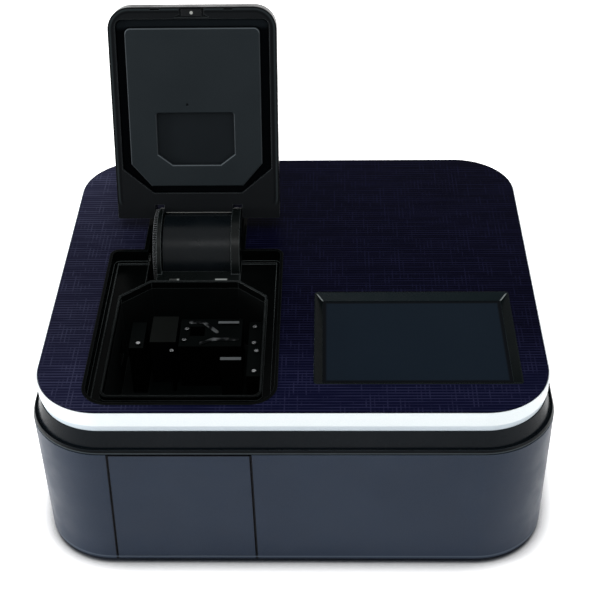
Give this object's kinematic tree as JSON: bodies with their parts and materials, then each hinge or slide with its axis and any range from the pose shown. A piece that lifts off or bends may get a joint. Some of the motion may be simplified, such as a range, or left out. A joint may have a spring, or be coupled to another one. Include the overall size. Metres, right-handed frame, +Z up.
{
  "type": "water quality analyzer",
  "caption": "Benchtop photometric water analyzer: rounded box body with a sloped collar, hinged lid open over a sample well, and a recessed touch screen.",
  "frame": {"origin": "on the table under the middle of the body, at the bottom of the rubber feet", "axes": "+X to the right seen from the front, +Y to the back, +Z up; the lid is stored open"},
  "size_m": [0.4144, 0.3738, 0.3508],
  "materials": {
    "slate": "fine textured",
    "charcoal": "satin",
    "white_ring": "satin",
    "patterned_navy": "satin with a fine woven grid",
    "gloss_black": "gloss",
    "lid_black": "satin",
    "matte_black": "matte",
    "black_metal": "anodised black",
    "anodised_grey": "bead blasted",
    "cast_aluminium": "as machined",
    "zinc_steel": "zinc plated",
    "screw_steel": "bright",
    "spring_steel": "bright rolled",
    "brass": "bright",
    "rubber": "matte",
    "bush": "machined",
    "quartz": "clear",
    "screen_glass": "dark, switched off",
    "board_green": "solder mask"
  },
  "bodies": {
    "body": {"lower_housing": "slate", "panel_catch_plate": "zinc_steel", "base_plate": "zinc_steel", "rubber_feet": "rubber", "upper_collar": "charcoal", "trim_ring": "white_ring", "top_plate": "patterned_navy", "well_bezel": "gloss_black", "sample_chamber": "matte_black", "beam_windows": "quartz", "window_mounts": "black_metal", "hinge_bracket": "matte_black", "lid_pads": "rubber", "bracket_posts": "zinc_steel", "hinge_shaft": "screw_steel", "tension_nut": "black_metal", "screen_bezel": "gloss_black", "touch_glass": "screen_glass", "display_module": "black_metal", "display_tray": "zinc_steel", "cell_base": "black_metal", "cuvette_holder": "black_metal", "lens_block": "anodised_grey", "beam_blocks": "black_metal", "cell_springs": "spring_steel", "clamp_bars": "spring_steel", "cell_screws": "screw_steel", "optics_bench": "cast_aluminium", "bench_posts": "cast_aluminium", "lamp_housing": "black_metal", "source_lamp": "quartz", "condenser_lens": "quartz", "slit_plate": "black_metal", "mirror_block": "cast_aluminium", "grating_motor": "black_metal", "detector_module": "black_metal", "main_board": "board_green", "board_standoffs": "brass", "power_supply": "zinc_steel", "fan_frame": "matte_black", "fan_stand": "zinc_steel", "rear_panel": "black_metal", "power_inlet": "matte_black", "inlet_pins": "brass", "switch_frame": "matte_black", "data_sockets": "zinc_steel"},
    "lid": {"lid_frame": "lid_black", "lid_inner_panel": "lid_black", "lid_gasket": "rubber", "lid_outer_shell": "gloss_black", "latch_block": "lid_black", "lid_drum": "gloss_black", "hinge_bushes": "bush"},
    "service_panel": {"front_panel": "slate"},
    "grating": {"grating_table": "cast_aluminium", "diffraction_grating": "quartz"},
    "fan": {"fan_rotor": "matte_black"},
    "rocker": {"switch_rocker": "matte_black"}
  },
  "joints": [
    {"name": "lid_hinge", "type": "hinge", "parent": "body", "child": "lid", "pos_m": [-0.0863, 0.0505, 0.1465], "axis": [1, 0, 0], "range_deg": [0, 106.6]},
    {"name": "panel_pull", "type": "slide", "parent": "body", "child": "service_panel", "axis": [0, -1, 0], "range_m": [0, 0.02]},
    {"name": "grating_turn", "type": "hinge", "parent": "body", "child": "grating", "pos_m": [0.018, -0.095, 0.09], "axis": [0, 0, 1], "range_deg": [-25, 25]},
    {"name": "fan_spin", "type": "hinge", "parent": "body", "child": "fan", "pos_m": [-0.11, 0.17465, 0.064], "axis": [0, 1, 0], "continuous": true},
    {"name": "switch_rock", "type": "hinge", "parent": "body", "child": "rocker", "pos_m": [0.097, 0.17875, 0.048], "axis": [1, 0, 0], "range_deg": [0, 15]}
  ]
}
